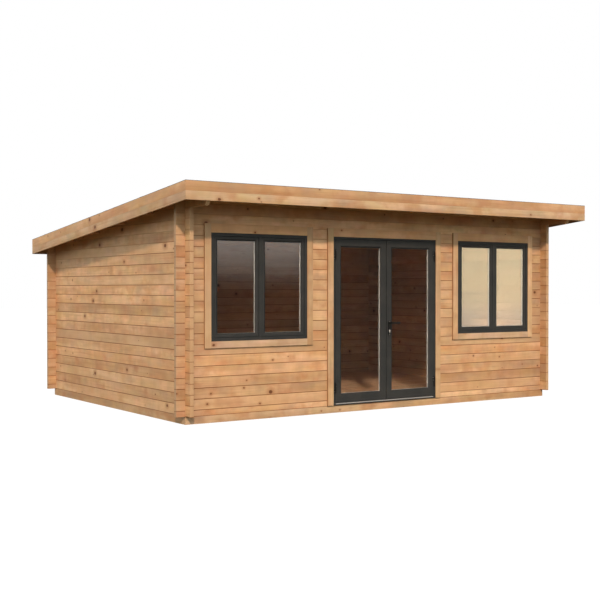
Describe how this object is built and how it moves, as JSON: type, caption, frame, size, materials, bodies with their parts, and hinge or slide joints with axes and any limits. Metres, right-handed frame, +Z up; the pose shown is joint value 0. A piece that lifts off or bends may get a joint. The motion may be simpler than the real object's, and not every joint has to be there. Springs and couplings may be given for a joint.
{
  "type": "garden office pod",
  "caption": "Pent-roof log cabin with interlocking corner logs, grey double doors that swing outwards, paired fixed windows, boarded floor and a deep front eave.",
  "frame": {"origin": "on the ground under the middle of the roof", "axes": "+X to the right along the front, +Y from the front to the back, +Z up"},
  "size_m": [5.79, 4.38, 2.487],
  "materials": {
    "log_timber": "planed softwood with a warm tan stain",
    "sill_timber": "treated softwood",
    "floor_boards": "planed softwood boards",
    "roof_boards": "planed softwood boards",
    "fascia_timber": "planed softwood with a warm tan stain",
    "trim_timber": "planed softwood with a warm tan stain",
    "roof_membrane": "dark grey roofing sheet",
    "painted_joinery": "satin anthracite paint",
    "glazing": "clear double glazing",
    "threshold_metal": "brushed mill finish",
    "dark_ironmongery": "satin dark grey",
    "lock_metal": "satin nickel"
  },
  "bodies": {
    "cabin": {"sill_beams_front_back": "sill_timber", "sill_beams_sides": "sill_timber", "floor_joists": "sill_timber", "floor_deck": "floor_boards", "front_wall_logs_lower": "log_timber", "front_wall_logs_upper": "log_timber", "back_wall_logs_lower": "log_timber", "back_wall_logs_upper": "log_timber", "left_wall_logs_lower": "log_timber", "left_wall_logs_upper": "log_timber", "right_wall_logs_lower": "log_timber", "right_wall_logs_upper": "log_timber", "roof_purlins": "log_timber", "roof_deck": "roof_boards", "roof_covering": "roof_membrane", "fascia_upper_front_back": "fascia_timber", "fascia_upper_sides": "fascia_timber", "fascia_lower_front_back": "fascia_timber", "fascia_lower_sides": "fascia_timber", "outside_trim_uprights": "trim_timber", "outside_trim_rails": "trim_timber", "inside_trim_uprights": "trim_timber", "inside_trim_rails": "trim_timber", "left_window_frame": "painted_joinery", "left_window_sashes": "painted_joinery", "left_window_panes": "glazing", "right_window_frame": "painted_joinery", "right_window_sashes": "painted_joinery", "right_window_panes": "glazing", "door_frame": "painted_joinery", "door_threshold": "threshold_metal", "left_hinges_frame_side": "dark_ironmongery", "right_hinges_frame_side": "dark_ironmongery"},
    "door_leaf_left": {"left_leaf_frame": "painted_joinery", "left_leaf_pane": "glazing", "left_hinges_leaf_side": "dark_ironmongery"},
    "door_leaf_right": {"right_leaf_frame": "painted_joinery", "right_leaf_pane": "glazing", "right_hinges_leaf_side": "dark_ironmongery", "lever_handle_outside": "dark_ironmongery", "lever_handle_inside": "dark_ironmongery", "lock_cylinder": "lock_metal"}
  },
  "joints": [
    {"name": "left_leaf_hinge", "type": "hinge", "parent": "cabin", "child": "door_leaf_left", "pos_m": [-0.7405, -1.727, 1.045], "axis": [0, 0, -1], "range_deg": [0, 110]},
    {"name": "right_leaf_hinge", "type": "hinge", "parent": "cabin", "child": "door_leaf_right", "pos_m": [0.7405, -1.727, 1.045], "axis": [0, 0, 1], "range_deg": [0, 110]}
  ]
}
